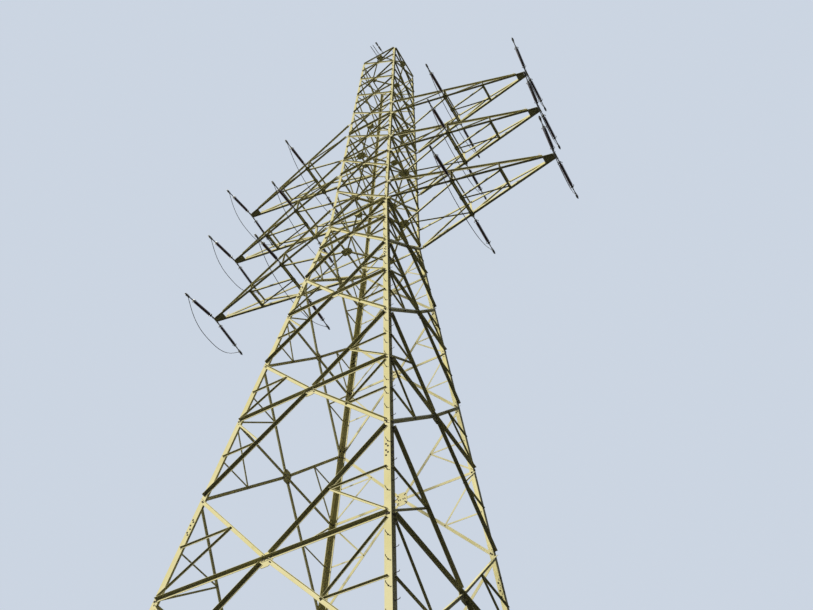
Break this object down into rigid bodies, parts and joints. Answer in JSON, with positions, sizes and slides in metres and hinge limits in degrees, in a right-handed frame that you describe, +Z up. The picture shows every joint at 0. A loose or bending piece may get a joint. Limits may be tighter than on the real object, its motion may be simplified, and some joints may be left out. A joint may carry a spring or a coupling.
{
  "type": "lattice transmission pylon, 1:2 scale model",
  "caption": "Square four-legged steel lattice tower with a tapering body, a slim cage and three pairs of tapering cross-arms that carry tension insulator strings and jumpers.",
  "frame": {"origin": "on the ground at the middle of the four footings", "axes": "+Z up, +X along the cross-arms, +Y along the line of conductors"},
  "size_m": [8.0954, 5.1238, 25.642],
  "materials": {
    "painted_steel": "weathered pale yellow-grey paint on rolled angles",
    "porcelain": "glazed dark brown porcelain",
    "galvanised": "dull hot-dip galvanised castings",
    "cable": "weathered stranded conductor",
    "concrete": "weathered cast concrete"
  },
  "bodies": {
    "root": {"footing_front_left": "concrete", "footing_front_right": "concrete", "footing_back_right": "concrete", "footing_back_left": "concrete", "leg_front_left": "painted_steel", "leg_front_right": "painted_steel", "leg_back_right": "painted_steel", "leg_back_left": "painted_steel", "lower_bracing_front": "painted_steel", "lower_bracing_right": "painted_steel", "lower_bracing_back": "painted_steel", "lower_bracing_left": "painted_steel", "upper_bracing_front": "painted_steel", "upper_bracing_right": "painted_steel", "upper_bracing_back": "painted_steel", "upper_bracing_left": "painted_steel", "cage_bracing_front": "painted_steel", "cage_bracing_right": "painted_steel", "cage_bracing_back": "painted_steel", "cage_bracing_left": "painted_steel", "level_frames": "painted_steel", "arm_top_right": "painted_steel", "arm_top_left": "painted_steel", "arm_middle_right": "painted_steel", "arm_middle_left": "painted_steel", "arm_bottom_right": "painted_steel", "arm_bottom_left": "painted_steel", "insulators_top_right": "porcelain", "insulators_top_left": "porcelain", "insulators_middle_right": "porcelain", "insulators_middle_left": "porcelain", "insulators_bottom_right": "porcelain", "insulators_bottom_left": "porcelain", "fittings_top_right": "galvanised", "fittings_top_left": "galvanised", "fittings_middle_right": "galvanised", "fittings_middle_left": "galvanised", "fittings_bottom_right": "galvanised", "fittings_bottom_left": "galvanised", "jumpers_top": "cable", "jumpers_middle": "cable", "jumpers_bottom": "cable"}
  },
  "joints": []
}
